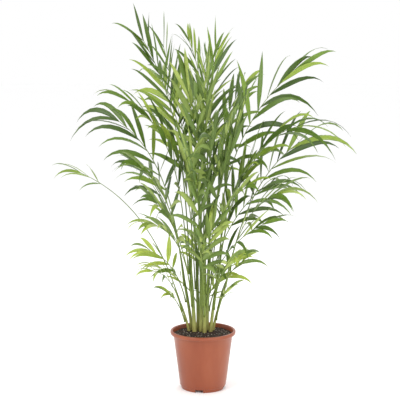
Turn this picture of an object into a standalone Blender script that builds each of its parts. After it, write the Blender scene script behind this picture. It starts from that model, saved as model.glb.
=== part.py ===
# Potted cat palm
# A clump of slender green canes stands in a round nursery pot and carries feathered fronds.
# Metres, +Z up. The origin is the middle of the pot's underside, and -Y is the front.
# Azimuths are degrees round +Z: 0 is the right of the front view, 90 the back, 180 the left.

import math
import random
from collections import namedtuple

import bmesh
import bpy
import numpy as np
from mathutils import Vector
from mathutils.bvhtree import BVHTree

# Clearances
SEAT_GAP = 0.0003
RIB_CLEARANCE = 0.0007
LEAF_CLEARANCE = 0.0006

# Pot, an injection-moulded tub with a rolled lip and a stepped foot
POT_SIDES = 48
LIP_RADIUS = 0.105
LIP_TOP = 0.1885
LIP_DEPTH = 0.0115
LIP_INNER_RADIUS = 0.0965
WALL_TOP_RADIUS = 0.095
WALL_TOP = 0.173
WALL_FOOT_RADIUS = 0.074
WALL_THICKNESS = 0.0018
FOOT_HEIGHT = 0.011
FOOT_TOP_RADIUS = 0.071
FOOT_RADIUS = 0.0695
FLOOR_THICKNESS = 0.003
FLOOR_RADIUS = 0.050
CORNER_TOP = 0.026
NOTCH_COUNT = 4
NOTCH_AZIMUTH = 259.5
NOTCH_WIDTH = 0.026
NOTCH_HEIGHT = 0.0085
NOTCH_INNER_RADIUS = 0.064

# Soil, a plug that fills the pot to below its lip
SOIL_EDGE = 0.176
SOIL_TOP = 0.1805
SOIL_FLAT_RADIUS = 0.060

# Canes
CANE_SIDES = 8
CANE_SHARES = (0.0, 0.05, 0.16, 0.45, 0.75, 1.0)
CANE_SWELL = (1.32, 1.16, 1.0, 0.95, 0.88, 0.80)
CANE_CURVE = 0.25

# Ribs of the fronds
RIB_FOOT_RADIUS = 0.0026
RIB_TIP_RADIUS = 0.0009
RIB_STRAIGHT = 0.36
RIB_BARE_RINGS = 5
RIB_END = 0.975
LEAST_PAIRS = 3
SOCKET_LENGTH = 0.007

# Leaflets
LEAF_LEAST_THICKNESS = 0.0016
LEAF_THICKNESS_SHARE = 0.012
LEAF_WIDEST = 0.40
LEAF_ARCHED_SAG = 0.17
LEAF_ARCHED_SHARES = ((0.34, 1.0), (0.68, 0.74))

Cane = namedtuple("Cane", "x y azimuth lean top radius")

CANES = {
    "west_low": Cane(-0.045, 0.018, 190, 17, 0.275, 0.0042),
    "west": Cane(-0.036, 0.032, 172, 9, 0.360, 0.0052),
    "west_front": Cane(-0.027, 0.009, 205, 4, 0.420, 0.0062),
    "mid_west": Cane(-0.015, 0.029, 150, 1.5, 0.450, 0.0055),
    "back": Cane(-0.003, 0.047, 95, 6, 0.410, 0.0055),
    "middle": Cane(-0.006, 0.012, 260, 0.5, 0.460, 0.0055),
    "front": Cane(0.005, -0.006, 278, 4, 0.380, 0.0050),
    "mid_east": Cane(0.013, 0.028, 40, 2, 0.450, 0.0055),
    "east": Cane(0.024, 0.008, 345, 8, 0.400, 0.0052),
    "east_low": Cane(0.032, 0.028, 8, 16, 0.330, 0.0044),
}

# spacing: of the leaflet pairs along the rib. width: of a leaflet's length. splay and close:
# degrees off the rib at the lowest and the last pair. lift: degrees above the blade. sag: drop of
# a level leaflet's tip, of its length. tail: length of the last leaflets against the first.
Habit = namedtuple("Habit", "spacing width splay close lift sag tail")

HABITS = {
    "plume": Habit(0.040, 0.100, 38, 15, 12, 0.10, 0.95),
    "ladder": Habit(0.033, 0.115, 66, 26, 8, 0.05, 0.65),
    "arching": Habit(0.050, 0.108, 44, 12, 14, 0.34, 1.15),
    "spray": Habit(0.052, 0.122, 46, 16, 12, 0.20, 0.98),
    "young": Habit(0.030, 0.185, 54, 16, 12, 0.24, 1.00),
    "broad": Habit(0.042, 0.165, 42, 7, 8, 0.05, 1.35),
    "tuft": Habit(0.040, 0.125, 44, 10, 10, 0.26, 1.10),
}

FRESH_HABITS = ("young", "broad")

# release: height where the rib leaves its cane. azimuth, reach and height: the rib's tip, from
# the pot's axis. lean and droop: degrees off upright at the rib's foot and tip. turn: degrees
# that the blade twists round its rib. bare: share of the rib below the leaflets. leaf: length of
# the lowest leaflets.
Frond = namedtuple("Frond", "cane release azimuth reach height lean droop turn bare leaf habit")

FRONDS = {
    "left_crest": Frond("west_front", 0.420, 153, 0.221, 1.120, 5, 36, -55, 0.48, 0.182, "plume"),
    "left_inner": Frond("mid_west", 0.450, 171, 0.128, 1.100, 2, 14, -60, 0.46, 0.143, "plume"),
    "left_shoulder": Frond("west_front", 0.370, 207, 0.260, 0.930, 6, 62, -35, 0.41, 0.162, "spray"),
    "left_reach": Frond("west", 0.360, 157, 0.305, 0.855, 8, 60, -45, 0.47, 0.186, "arching"),
    "left_outrigger": Frond("west_low", 0.275, 187, 0.390, 0.703, 17, 66, -35, 0.85, 0.116, "tuft"),
    "left_drape": Frond("west", 0.325, 220, 0.248, 0.730, 6, 62, -25, 0.55, 0.162, "tuft"),
    "left_bow": Frond("west_front", 0.320, 213, 0.185, 0.545, 6, 74, -20, 0.47, 0.125, "young"),
    "left_low": Frond("west", 0.270, 155, 0.188, 0.430, 12, 74, -30, 0.49, 0.110, "young"),
    "left_skirt": Frond("west_low", 0.245, 201, 0.169, 0.392, 14, 78, -25, 0.52, 0.090, "young"),
    "left_hem": Frond("west_low", 0.212, 196, 0.112, 0.310, 20, 58, -25, 0.52, 0.095, "young"),
    "crown_leaf": Frond("middle", 0.460, 236, 0.084, 0.960, 2, 24, 20, 0.61, 0.140, "broad"),
    "crown_ladder": Frond("mid_east", 0.450, 86, 0.045, 1.035, 1, 4, 0, 0.41, 0.150, "ladder"),
    "crown_back_left": Frond("back", 0.410, 109, 0.148, 1.115, 4, 40, 0, 0.55, 0.132, "plume"),
    "crown_right": Frond("mid_east", 0.400, 62, 0.092, 1.085, 2, 18, 35, 0.52, 0.160, "plume"),
    "front_centre": Frond("front", 0.380, 277, 0.255, 0.850, 4, 54, 55, 0.47, 0.180, "spray"),
    "front_left": Frond("front", 0.345, 258, 0.275, 0.790, 6, 58, -60, 0.47, 0.180, "spray"),
    "front_high": Frond("middle", 0.415, 262, 0.185, 0.945, 4, 40, -50, 0.49, 0.156, "spray"),
    "right_crest": Frond("mid_east", 0.350, 12, 0.291, 1.010, 6, 50, 45, 0.49, 0.211, "arching"),
    "right_inner": Frond("east", 0.400, 309, 0.206, 0.935, 4, 42, 40, 0.44, 0.162, "spray"),
    "right_reach": Frond("east", 0.345, 338, 0.318, 0.852, 6, 76, 40, 0.46, 0.189, "arching"),
    "right_sweep": Frond("east_low", 0.330, 21, 0.337, 0.783, 12, 58, 45, 0.55, 0.221, "arching"),
    "right_shoulder": Frond("east", 0.300, 322, 0.227, 0.760, 6, 58, 35, 0.44, 0.168, "spray"),
    "right_drape": Frond("east_low", 0.290, 336, 0.244, 0.638, 10, 66, 35, 0.55, 0.174, "tuft"),
    "right_bow": Frond("front", 0.310, 302, 0.237, 0.672, 8, 66, 35, 0.49, 0.156, "spray"),
    "right_low": Frond("east", 0.255, 308, 0.152, 0.442, 10, 68, 20, 0.51, 0.095, "young"),
    "right_skirt": Frond("east_low", 0.250, 29, 0.146, 0.398, 12, 62, 30, 0.52, 0.105, "young"),
    "right_hem": Frond("east_low", 0.215, 329, 0.100, 0.338, 14, 60, 20, 0.47, 0.085, "young"),
    "back_right_high": Frond("back", 0.375, 62, 0.290, 0.960, 4, 52, 20, 0.43, 0.180, "spray"),
    "back_centre": Frond("back", 0.335, 88, 0.330, 0.800, 6, 66, 15, 0.46, 0.173, "arching"),
    "back_left_high": Frond("mid_west", 0.405, 118, 0.300, 0.985, 4, 50, -30, 0.43, 0.186, "spray"),
    "back_left": Frond("west", 0.300, 132, 0.325, 0.690, 8, 68, -20, 0.47, 0.162, "arching"),
    "back_right": Frond("mid_east", 0.300, 42, 0.310, 0.640, 8, 70, 20, 0.47, 0.162, "arching"),
    "back_low": Frond("back", 0.270, 97, 0.215, 0.450, 10, 72, 15, 0.49, 0.115, "young"),
    "back_crest": Frond("mid_west", 0.360, 80, 0.200, 1.060, 3, 34, 20, 0.51, 0.165, "plume"),
    "back_left_low": Frond("back", 0.235, 140, 0.200, 0.370, 14, 72, 10, 0.49, 0.100, "young"),
    "back_right_low": Frond("mid_east", 0.240, 52, 0.205, 0.400, 12, 72, -10, 0.49, 0.105, "young"),
    "front_right": Frond("middle", 0.365, 290, 0.280, 0.900, 5, 50, 55, 0.47, 0.180, "spray"),
    "front_right_mid": Frond("front", 0.270, 318, 0.250, 0.560, 8, 64, 40, 0.51, 0.151, "tuft"),
    "front_left_mid": Frond("west_front", 0.265, 236, 0.255, 0.630, 8, 60, -40, 0.51, 0.162, "tuft"),
    "front_low": Frond("front", 0.235, 266, 0.145, 0.500, 8, 48, -50, 0.49, 0.115, "young"),
    "front_crest": Frond("middle", 0.315, 275, 0.140, 1.030, 3, 26, 45, 0.55, 0.154, "plume"),
    "back_hem": Frond("back", 0.205, 70, 0.130, 0.320, 18, 62, 0, 0.47, 0.090, "young"),
    "inner_left": Frond("mid_west", 0.315, 200, 0.150, 0.860, 4, 40, -40, 0.46, 0.156, "spray"),
    "heart_left": Frond("west_front", 0.345, 252, 0.110, 0.745, 3, 22, -50, 0.50, 0.174, "tuft"),
    "heart_right": Frond("mid_east", 0.330, 305, 0.125, 0.775, 3, 24, 50, 0.50, 0.174, "tuft"),
    "heart_front": Frond("front", 0.305, 262, 0.130, 0.650, 3, 20, 30, 0.50, 0.157, "tuft"),
    "heart_east": Frond("east", 0.330, 352, 0.135, 0.700, 3, 26, 40, 0.48, 0.162, "spray"),
    "heart_low": Frond("front", 0.265, 288, 0.100, 0.545, 3, 18, -40, 0.46, 0.120, "young"),
}

# Ways that a rib gives way to what stands in its course, in the order of trying:
# degrees round the cane, metres of sideways bow, and degrees more lean
RIB_TURNS = (0, 25, -25, 50, -50, 75, -75)
RIB_BOWS = (0.0, 0.012, -0.012, 0.026, -0.026)
RIB_LEANS = (0, 3, -3)

# Ways that a leaflet gives way: degrees of splay and of lift, and share of its length
LEAF_WAYS = (
    (0, 0, 1.0),
    (7, 0, 1.0),
    (-7, 0, 1.0),
    (0, 14, 1.0),
    (0, -14, 1.0),
    (9, 14, 0.9),
    (-8, -14, 0.9),
    (0, 26, 0.85),
    (12, -24, 0.8),
    (0, 0, 0.7),
    (0, 16, 0.6),
)

LEAF_GREEN = (0.127, 0.235, 0.060, 1.0)
FRESH_GREEN = (0.205, 0.330, 0.075, 1.0)
CANE_GREEN = (0.270, 0.340, 0.085, 1.0)
TERRACOTTA = (0.400, 0.118, 0.060, 1.0)
SOIL_BROWN = (0.035, 0.022, 0.015, 1.0)

UP = Vector((0.0, 0.0, 1.0))


def clear_scene():
    for item in list(bpy.data.objects):
        bpy.data.objects.remove(item, do_unlink=True)


def material(name, colour, roughness):
    made = bpy.data.materials.new(name)
    made.use_nodes = True
    shader = made.node_tree.nodes["Principled BSDF"]
    shader.inputs["Base Color"].default_value = colour
    shader.inputs["Roughness"].default_value = roughness
    made.diffuse_color = colour
    return made


def add_object(name, mesh, finish):
    item = bpy.data.objects.new(name, mesh)
    mesh.materials.append(finish)
    bpy.context.collection.objects.link(item)
    return item


def heading(azimuth):
    angle = math.radians(azimuth)
    return Vector((math.cos(angle), math.sin(angle), 0.0))


def wall_radius(height):
    """Outer radius of the pot's tapering wall."""
    share = (height - FOOT_HEIGHT) / (WALL_TOP - FOOT_HEIGHT)
    return WALL_FOOT_RADIUS + share * (WALL_TOP_RADIUS - WALL_FOOT_RADIUS)


def turned(name, profile, finish):
    """A solid of revolution round +Z from an open profile that starts and ends on the axis."""
    shape = bmesh.new()
    corners = [shape.verts.new((radius, 0.0, height)) for radius, height in profile]
    edges = [shape.edges.new(pair) for pair in zip(corners, corners[1:])]
    bmesh.ops.spin(
        shape,
        geom=corners + edges,
        cent=(0.0, 0.0, 0.0),
        axis=(0.0, 0.0, 1.0),
        angle=2.0 * math.pi,
        steps=POT_SIDES,
        use_merge=True,
    )
    bmesh.ops.remove_doubles(shape, verts=shape.verts, dist=0.00001)
    bmesh.ops.recalc_face_normals(shape, faces=shape.faces)
    mesh = bpy.data.meshes.new(name)
    shape.to_mesh(mesh)
    shape.free()
    mesh.shade_smooth()
    mesh.set_sharp_from_angle(angle=math.radians(30))
    return add_object(name, mesh, finish)


def notch_cutter(azimuth):
    """A box that cuts one drain notch into the foot of the pot."""
    depth = 2.0 * (WALL_FOOT_RADIUS - NOTCH_INNER_RADIUS)
    bpy.ops.mesh.primitive_cube_add(size=1.0)
    cutter = bpy.context.object
    cutter.name = f"cutter_notch_{azimuth:.0f}"
    cutter.dimensions = (depth, NOTCH_WIDTH, 2.0 * NOTCH_HEIGHT)
    cutter.location = heading(azimuth) * (NOTCH_INNER_RADIUS + depth / 2.0)
    cutter.rotation_euler = (0.0, 0.0, math.radians(azimuth))
    cutter.hide_render = True
    cutter.display_type = "WIRE"
    return cutter


def build_pot():
    lip_under = LIP_TOP - LIP_DEPTH
    profile = [
        (0.0, 0.0),
        (FOOT_RADIUS, 0.0),
        (FOOT_TOP_RADIUS, FOOT_HEIGHT - 0.001),
        (WALL_FOOT_RADIUS, FOOT_HEIGHT),
        (WALL_TOP_RADIUS, WALL_TOP),
        (LIP_RADIUS - 0.001, lip_under),
        (LIP_RADIUS, lip_under + 0.002),
        (LIP_RADIUS, LIP_TOP - 0.003),
        (LIP_RADIUS - 0.002, LIP_TOP),
        (LIP_INNER_RADIUS + 0.002, LIP_TOP),
        (LIP_INNER_RADIUS, LIP_TOP - 0.002),
        (WALL_TOP_RADIUS - WALL_THICKNESS, WALL_TOP),
        (wall_radius(CORNER_TOP) - WALL_THICKNESS, CORNER_TOP),
        (FLOOR_RADIUS, FLOOR_THICKNESS),
        (0.0, FLOOR_THICKNESS),
    ]
    pot = turned("pot", profile, material("moulded_terracotta_plastic", TERRACOTTA, 0.45))
    for turn in range(NOTCH_COUNT):
        cutter = notch_cutter(NOTCH_AZIMUTH + turn * 360.0 / NOTCH_COUNT)
        cut = pot.modifiers.new("drain_notch", "BOOLEAN")
        cut.operation = "DIFFERENCE"
        cut.solver = "EXACT"
        cut.object = cutter
    return pot


def build_soil():
    inset = WALL_THICKNESS + SEAT_GAP
    corner_radius = wall_radius(CORNER_TOP) - inset
    profile = [
        (0.0, FLOOR_THICKNESS + SEAT_GAP),
        (FLOOR_RADIUS - SEAT_GAP / 2.0, FLOOR_THICKNESS + SEAT_GAP),
        (corner_radius, CORNER_TOP + SEAT_GAP / 2.0),
        (WALL_TOP_RADIUS - inset, WALL_TOP),
        (WALL_TOP_RADIUS - inset + 0.0004, SOIL_EDGE),
        (SOIL_FLAT_RADIUS, SOIL_TOP),
        (0.0, SOIL_TOP),
    ]
    return turned("potting_soil", profile, material("peat_soil", SOIL_BROWN, 0.95))


def cane_axis(cane, height):
    """Point on a cane's axis. It leans away from the clump, and a little more as it rises."""
    rise = height - SOIL_TOP
    share = rise / (cane.top - SOIL_TOP)
    away = math.tan(math.radians(cane.lean)) * rise * (1.0 - CANE_CURVE + CANE_CURVE * share)
    return Vector((cane.x, cane.y, height)) + heading(cane.azimuth) * away


def cane_radius(cane, height):
    share = (height - SOIL_TOP) / (cane.top - SOIL_TOP)
    return cane.radius * float(np.interp(share, CANE_SHARES, CANE_SWELL))


def cane_height(cane, share):
    foot = SOIL_TOP + SEAT_GAP
    return foot + share * (cane.top - foot)


def build_cane(name, cane, finish):
    """A tapering cane with a swollen foot, cut level where it stands on the soil."""
    shape = bmesh.new()
    rings = []
    for share in CANE_SHARES:
        height = cane_height(cane, share)
        middle = cane_axis(cane, height)
        radius = cane_radius(cane, height)
        spokes = [heading(360.0 * side / CANE_SIDES) for side in range(CANE_SIDES)]
        rings.append([shape.verts.new(middle + spoke * radius) for spoke in spokes])
    for lower, upper in zip(rings, rings[1:]):
        for side in range(CANE_SIDES):
            after = (side + 1) % CANE_SIDES
            shape.faces.new((lower[side], lower[after], upper[after], upper[side]))
    shape.faces.new(list(reversed(rings[0])))
    shape.faces.new(rings[-1])
    mesh = bpy.data.meshes.new(name)
    shape.to_mesh(mesh)
    shape.free()
    mesh.shade_smooth()
    mesh.set_sharp_from_angle(angle=math.radians(50))
    return add_object(name, mesh, finish)


def pair_count(frond):
    """How many leaflet pairs fit on the leafy end of a rib."""
    rise = frond.height - frond.release
    leafy = math.hypot(rise, frond.reach) * (RIB_END - frond.bare)
    return max(LEAST_PAIRS, round(leafy / HABITS[frond.habit].spacing) + 1)


def rib_shares(frond):
    """Places of the rings along a rib: a few below the leaflets, then one for each pair."""
    bare = [frond.bare * step / RIB_BARE_RINGS for step in range(RIB_BARE_RINGS)]
    last = pair_count(frond) - 1
    sockets = [frond.bare + (RIB_END - frond.bare) * pair / last for pair in range(last + 1)]
    return bare, sockets


def rib_radius(share):
    return RIB_FOOT_RADIUS + (RIB_TIP_RADIUS - RIB_FOOT_RADIUS) * share**0.8


def section_reach(turn):
    """How far the rib's three-sided section reaches, of its radius, at an angle off its top."""
    angle = math.radians(abs(turn))
    return max(math.cos(angle), 0.87 * math.sin(angle) - 0.5 * math.cos(angle))


class Rib:
    """The curve of a frond's rib, from its foot on a cane to its tip."""

    def __init__(self, frond, turn=0.0, bow=0.0, more_lean=0.0):
        cane = CANES[frond.cane]
        self.tip = heading(frond.azimuth) * frond.reach + UP * frond.height
        axis = cane_axis(cane, frond.release)
        away = self.tip - axis
        azimuth = math.degrees(math.atan2(away.y, away.x))
        tilt = math.sin(math.radians(frond.lean))
        self.foot = axis + UP * (SEAT_GAP + RIB_FOOT_RADIUS * tilt)
        if frond.release < cane.top:
            off = cane_radius(cane, frond.release) + SEAT_GAP
            off += RIB_FOOT_RADIUS * section_reach(turn)
            self.foot = axis + heading(azimuth + turn) * off
        chord = self.tip - self.foot
        self.out = Vector((chord.x, chord.y, 0.0)).normalized()
        self.right = self.out.cross(UP)
        self.blade_turn = math.radians(frond.turn)
        self.bare = frond.bare
        straight = chord.length * RIB_STRAIGHT
        self.lower = self.foot + self.tilted(frond.lean + more_lean) * straight + self.right * bow
        self.upper = self.tip - self.tilted(frond.droop) * straight + self.right * bow
        self.length = chord.length

    def tilted(self, degrees):
        angle = math.radians(degrees)
        return UP * math.cos(angle) + self.out * math.sin(angle)

    def point(self, share):
        rest = 1.0 - share
        return (
            self.foot * rest**3
            + self.lower * 3.0 * rest**2 * share
            + self.upper * 3.0 * rest * share**2
            + self.tip * share**3
        )

    def frame(self, share):
        """Tangent, upper side and right side of the blade at a share of the rib."""
        rest = 1.0 - share
        along = (
            (self.lower - self.foot) * rest**2
            + (self.upper - self.lower) * 2.0 * rest * share
            + (self.tip - self.upper) * share**2
        ).normalized()
        above = self.right.cross(along).normalized()
        right = along.cross(above)
        grown = min(1.0, share / self.bare)
        twist = self.blade_turn * grown**2 * (3.0 - 2.0 * grown)
        turned_above = above * math.cos(twist) + right * math.sin(twist)
        return along, turned_above, along.cross(turned_above)


def course(rib, frond):
    """The rib's rings as one bent line of points, with the rib's radius at each."""
    bare, sockets = rib_shares(frond)
    shares = bare + sockets + [1.0]
    points = np.array([rib.point(share) for share in shares])
    radii = np.array([rib_radius(share) for share in shares])
    return points, radii


def sampled(points, radii, spacing=0.004):
    """Points along a bent line, close together, with the radius at each."""
    places = []
    sizes = []
    for start, end, first, last in zip(points, points[1:], radii, radii[1:]):
        count = max(1, int(np.linalg.norm(end - start) / spacing))
        shares = np.linspace(0.0, 1.0, count, endpoint=False)[:, None]
        places.append(start + (end - start) * shares)
        sizes.append(first + (last - first) * shares[:, 0])
    return np.concatenate(places), np.concatenate(sizes)


def clearance(points, radii, lines):
    """Least gap between a bent line and the others, all as round bars."""
    places, sizes = sampled(points, radii)
    least = math.inf
    for other, other_radii in lines:
        start = other[:-1]
        span = other[1:] - start
        reach = places[:, None, :] - start[None, :, :]
        share = np.clip((reach * span).sum(2) / (span * span).sum(1), 0.0, 1.0)
        apart = np.linalg.norm(reach - share[:, :, None] * span, axis=2)
        thick = other_radii[:-1] + share * (other_radii[1:] - other_radii[:-1])
        least = min(least, float((apart - thick - sizes[:, None]).min()))
    return least


def cane_line(cane):
    heights = [cane_height(cane, share) for share in CANE_SHARES]
    points = np.array([cane_axis(cane, height) for height in heights])
    radii = np.array([cane_radius(cane, height) for height in heights])
    return points, radii


def lay_ribs():
    """Sets every rib's curve. A rib that meets a cane or an earlier rib gives way to it."""
    canes = {name: cane_line(cane) for name, cane in CANES.items()}
    laid = []
    ribs = {}
    for name, frond in FRONDS.items():
        others = [line for cane, line in canes.items() if cane != frond.cane] + laid
        own = [canes[frond.cane]]
        best = None
        for more_lean in RIB_LEANS:
            for bow in RIB_BOWS:
                for turn in RIB_TURNS:
                    if best and best[0] >= RIB_CLEARANCE:
                        break
                    rib = Rib(frond, turn, bow, more_lean)
                    points, radii = course(rib, frond)
                    gap = clearance(points, radii, others)
                    own_gap = clearance(points[1:], radii[1:], own)
                    gap = min(gap, own_gap)
                    if best is None or gap > best[0]:
                        best = (gap, rib, points, radii)
        laid.append((best[2], best[3]))
        ribs[name] = best[1]
    return ribs


def bare_rib(net, walls):
    """The rib with its sockets walled up, as it stands before the leaflets grow."""
    closed = Net()
    closed.corners = net.corners
    closed.faces = list(net.faces)
    for pair_walls in walls:
        for wall in pair_walls:
            closed.wall(*wall)
    return closed.corners, closed.faces


class Leaflet:
    """One blade: its root on the rib, and a curve that sags under its own weight."""

    def __init__(self, name, rib, pair, side, way=(0, 0, 1.0)):
        frond = FRONDS[name]
        habit = HABITS[frond.habit]
        splay, lift, shorter = way
        share = pair / (pair_count(frond) - 1)
        # The draw depends on the place alone, so that leaving one leaflet out moves no other.
        draw = random.Random(f"{name} {2 * pair} {side}")
        vary = [draw.uniform(-1.0, 1.0) for _ in range(6)]
        grown = (1.0 + (habit.tail - 1.0) * share) * (0.84 + 0.16 * math.sin(math.pi * share))
        self.length = frond.leaf * grown * (1.0 + 0.10 * vary[0]) * shorter
        self.width = self.length / shorter * habit.width * (1.0 + 0.12 * vary[1])
        angle = habit.splay + (habit.close - habit.splay) * share**0.8 + 9.0 * vary[2] + splay
        raised = habit.lift + 15.0 * vary[3] + lift
        self.place = frond.bare + (RIB_END - frond.bare) * share
        along, above, right = rib.frame(self.place)
        angle = math.radians(angle)
        raised = math.radians(raised)
        aside = right * side * math.cos(raised) + above * math.sin(raised)
        self.aim = along * math.cos(angle) + aside * math.sin(angle)
        self.root = rib.point(self.place) + along * SOCKET_LENGTH / 2.0
        level = math.hypot(self.aim.x, self.aim.y)
        self.sag = habit.sag * level * (1.0 + 0.5 * vary[4])
        facing = (above - self.aim * above.dot(self.aim)).normalized()
        roll = math.radians(14.0 * vary[5] + 12.0) * side
        self.facing = facing * math.cos(roll) + self.aim.cross(facing) * math.sin(roll)
        self.thickness = max(LEAF_LEAST_THICKNESS, LEAF_THICKNESS_SHARE * self.length)
        self.side = side

    def middle(self, share):
        return self.root + (self.aim * share - UP * self.sag * share**2) * self.length

    def section(self, share, width_share, swell=0.0):
        """Front edge, rear edge and keel. The front edge is the one towards the rib's tip."""
        middle = self.middle(share)
        along = (self.aim - UP * 2.0 * self.sag * share).normalized()
        facing = (self.facing - along * self.facing.dot(along)).normalized()
        across = along.cross(facing) * -self.side
        half = across * (self.width * width_share / 2.0 + swell)
        keel = middle - facing * (self.thickness * min(1.0, width_share + 0.2) + swell)
        return [middle + half + facing * swell, middle - half + facing * swell, keel]

    def sections(self, swell=0.0):
        if self.sag > LEAF_ARCHED_SAG:
            shares = LEAF_ARCHED_SHARES
        else:
            shares = ((LEAF_WIDEST, 1.0),)
        return [self.section(share, width, swell) for share, width in shares]

    def outer(self):
        """A slightly larger blade, from just off the rib to the tip, for what shares its frond."""
        net = Net()
        rings = [self.section(0.10, 0.40, LEAF_CLEARANCE)] + self.sections(LEAF_CLEARANCE)
        rings = [net.ring(ring) for ring in rings]
        net.faces.append(tuple(rings[0]))
        for inner, outer in zip(rings, rings[1:]):
            net.join(inner, outer)
        net.point(rings[-1], self.middle(1.0) + self.aim * LEAF_CLEARANCE)
        return net.corners, net.faces

    def whole(self, socket):
        """The blade with its root, at its size and slightly larger, for what other fronds hold."""
        net = Net()
        for swell in (0.0, LEAF_CLEARANCE):
            grow_leaflet(net, self, net.ring(socket), swell)
        return net.corners, net.faces


class Placed:
    """Everything that a new leaflet has to keep clear of."""

    def __init__(self):
        self.owners = []
        self.lows = []
        self.highs = []
        self.wholes = []
        self.outers = []

    def add(self, owner, whole, outer=None):
        """Adds a shape. A leaflet on the same frond has to clear its outer part only."""
        places = np.array(whole[0])
        self.owners.append(owner)
        self.lows.append(places.min(0))
        self.highs.append(places.max(0))
        self.wholes.append(BVHTree.FromPolygons(*whole))
        self.outers.append(BVHTree.FromPolygons(*(outer or whole)))

    def meets(self, owner, whole, outer):
        places = np.array(whole[0])
        near = (np.array(self.lows) < places.max(0)).all(1)
        near &= (np.array(self.highs) > places.min(0)).all(1)
        whole_tree = BVHTree.FromPolygons(*whole)
        outer_tree = BVHTree.FromPolygons(*outer)
        for index in np.flatnonzero(near):
            if self.owners[index] == owner:
                met = self.outers[index].overlap(outer_tree)
            else:
                met = self.wholes[index].overlap(whole_tree)
            if met:
                return True
        return False


def rib_ring(rib, share, place=None):
    """Top, left and right corner of the rib's three-sided section."""
    along, above, right = rib.frame(share)
    radius = rib_radius(share)
    middle = rib.point(share) if place is None else place
    low = middle - above * radius * 0.5
    return [middle + above * radius, low - right * radius * 0.87, low + right * radius * 0.87]


class Net:
    """Corners and three-sided faces of one frond."""

    def __init__(self):
        self.corners = []
        self.faces = []

    def ring(self, corners):
        first = len(self.corners)
        self.corners += corners
        return list(range(first, first + len(corners)))

    def join(self, lower, upper):
        for corner in range(3):
            after = (corner + 1) % 3
            self.wall(lower[corner], lower[after], upper[after], upper[corner])

    def wall(self, a, b, c, d):
        self.faces.append((a, b, c))
        self.faces.append((a, c, d))

    def point(self, ring, tip):
        last = self.ring([tip])[0]
        for corner in range(3):
            self.faces.append((ring[corner], ring[(corner + 1) % 3], last))


def grow_leaflet(net, leaflet, socket, swell=0.0):
    """Draws a blade out of its socket: rear top, front top, front low and rear low corner."""
    rear_top, front_top, front_low, rear_low = socket
    rings = [net.ring(section) for section in leaflet.sections(swell)]
    front, rear, keel = rings[0]
    net.wall(rear_top, front_top, front, rear)
    net.faces.append((front_top, front_low, front))
    net.faces.append((front_low, keel, front))
    net.faces.append((front_low, rear_low, keel))
    net.faces.append((rear_low, rear, keel))
    net.faces.append((rear_low, rear_top, rear))
    for inner, outer in zip(rings, rings[1:]):
        net.join(inner, outer)
    net.point(rings[-1], leaflet.middle(1.0))


def rib_net(rib, frond):
    """The rib's own faces, with the side walls of each socket kept apart for the leaflets."""
    net = Net()
    bare, sockets = rib_shares(frond)
    rings = [net.ring(rib_ring(rib, share)) for share in bare]
    net.faces.append(tuple(rings[0]))
    for lower, upper in zip(rings, rings[1:]):
        net.join(lower, upper)
    walls = []
    below = rings[-1]
    for share in sockets:
        along = rib.frame(share)[0]
        rear = net.ring(rib_ring(rib, share))
        front = net.ring(rib_ring(rib, share, rib.point(share) + along * SOCKET_LENGTH))
        net.join(below, rear)
        net.wall(rear[1], rear[2], front[2], front[1])
        left = (rear[0], front[0], front[1], rear[1])
        right = (rear[0], front[0], front[2], rear[2])
        walls.append((left, right))
        below = front
    tip = rib.point(sockets[-1]) + rib.frame(1.0)[0] * SOCKET_LENGTH * 3.0
    net.point(below, tip)
    return net, walls


def find_leaflet(name, rib, pair, side, socket, placed):
    """The first way of setting a leaflet that meets nothing, or None. Records the one it sets."""
    for way in LEAF_WAYS:
        leaflet = Leaflet(name, rib, pair, side, way)
        whole = leaflet.whole(socket)
        outer = leaflet.outer()
        if not placed.meets(name, whole, outer):
            placed.add(name, whole, outer)
            return leaflet
    return None


def frond_object(name, net, finish):
    shape = bmesh.new()
    corners = [shape.verts.new(corner) for corner in net.corners]
    for face in net.faces:
        shape.faces.new([corners[corner] for corner in face])
    bmesh.ops.recalc_face_normals(shape, faces=shape.faces)
    mesh = bpy.data.meshes.new(name)
    shape.to_mesh(mesh)
    shape.free()
    return add_object(name, mesh, finish)


def build_fronds(fixed, finishes):
    """Grows the leaflets pair by pair. One that meets something gives way, or is left out."""
    ribs = lay_ribs()
    placed = Placed()
    for item in fixed:
        placed.add(item.name, shell(item))
    nets = {}
    for name, frond in FRONDS.items():
        nets[name] = rib_net(ribs[name], frond)
        placed.add(name, bare_rib(*nets[name]))
    for name, frond in FRONDS.items():
        net, walls = nets[name]
        for pair, pair_walls in enumerate(walls):
            for wall, side in zip(pair_walls, (-1, 1)):
                socket = [net.corners[corner] for corner in wall]
                leaflet = find_leaflet(name, ribs[name], pair, side, socket, placed)
                if leaflet:
                    grow_leaflet(net, leaflet, wall)
                else:
                    net.wall(*wall)
        finish = finishes["fresh" if frond.habit in FRESH_HABITS else "grown"]
        frond_object(f"frond_{name}", net, finish)


def shell(item):
    """Corners and faces of an object, as it stands before its modifiers."""
    corners = [vertex.co.copy() for vertex in item.data.vertices]
    faces = [tuple(face.vertices) for face in item.data.polygons]
    return corners, faces


def main():
    clear_scene()
    pot = build_pot()
    soil = build_soil()
    cane_finish = material("green_cane", CANE_GREEN, 0.5)
    canes = [build_cane(f"cane_{name}", cane, cane_finish) for name, cane in CANES.items()]
    finishes = {
        "grown": material("grown_leaf", LEAF_GREEN, 0.45),
        "fresh": material("fresh_leaf", FRESH_GREEN, 0.42),
    }
    build_fronds([pot, soil] + canes, finishes)


main()
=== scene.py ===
# Looks of a potted cat palm: moulded nursery pot, peat, green canes and feathered fronds.
# Metres, +Z up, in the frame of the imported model. -Y is the front, azimuth 0 is the front's right.
import math
import random
from collections import namedtuple
from itertools import product

import bpy
import numpy as np
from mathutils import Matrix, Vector, noise


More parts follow.
